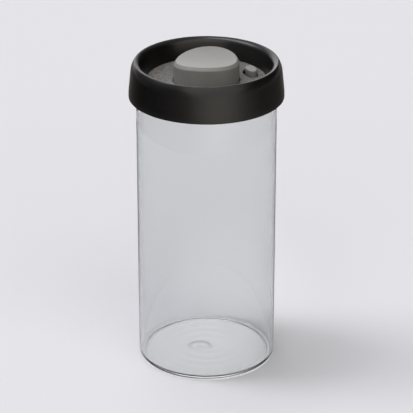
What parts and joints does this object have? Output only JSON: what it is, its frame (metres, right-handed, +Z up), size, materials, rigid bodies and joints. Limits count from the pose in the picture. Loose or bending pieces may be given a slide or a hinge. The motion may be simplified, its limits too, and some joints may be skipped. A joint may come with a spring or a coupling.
{
  "type": "vacuum seal canister",
  "caption": "Straight glass storage canister with a dark plastic lid, a central push pump button and a small release button.",
  "frame": {"origin": "centre of the glass foot, on the surface that the jar stands on", "axes": "+Z up along the jar's axis; the release button lies 20 degrees round from +X"},
  "size_m": [0.1106, 0.1106, 0.2322],
  "materials": {
    "glass": "clear polished borosilicate",
    "collar_plastic": "satin moulded ABS, brown black",
    "deck_plastic": "fine spark-textured ABS, warm grey",
    "button_plastic": "matt moulded ABS, warm grey",
    "base_plastic": "moulded polypropylene, dark brown",
    "barrel_plastic": "moulded acetal, natural",
    "silicone": "translucent grey silicone",
    "felt": "white filter felt",
    "steel": "stainless wire and screws"
  },
  "bodies": {
    "jar": {"glass_jar": "glass"},
    "lid": {"collar_shell": "collar_plastic", "deck_plate": "deck_plastic", "lid_base": "base_plastic", "jar_seal": "silicone", "collar_screws": "steel", "pump_barrel": "barrel_plastic", "barrel_oring": "silicone", "barrel_nut": "base_plastic", "barrel_cap": "barrel_plastic", "inlet_valve": "silicone", "filter_disc": "felt", "filter_cover": "base_plastic", "pump_spring": "steel", "release_spring": "steel"},
    "pump": {"pump_button": "button_plastic", "pump_stem": "barrel_plastic", "piston": "barrel_plastic", "piston_seal": "silicone", "outlet_valve": "silicone", "stem_screw": "steel"},
    "release": {"release_button": "button_plastic", "release_poppet": "barrel_plastic", "poppet_seal": "silicone"}
  },
  "joints": [
    {"name": "lid_lift", "type": "slide", "parent": "jar", "child": "lid", "axis": [0, 0, 1], "range_m": [0, 0.04]},
    {"name": "pump_press", "type": "slide", "parent": "lid", "child": "pump", "axis": [0, 0, -1], "range_m": [0, 0.0108], "stiffness_N_per_m": 600, "springref_m": -0.012, "deforming": ["pump_spring"]},
    {"name": "release_press", "type": "slide", "parent": "lid", "child": "release", "axis": [0, 0, -1], "range_m": [0, 0.003], "stiffness_N_per_m": 500, "springref_m": -0.004, "deforming": ["release_spring"]}
  ]
}
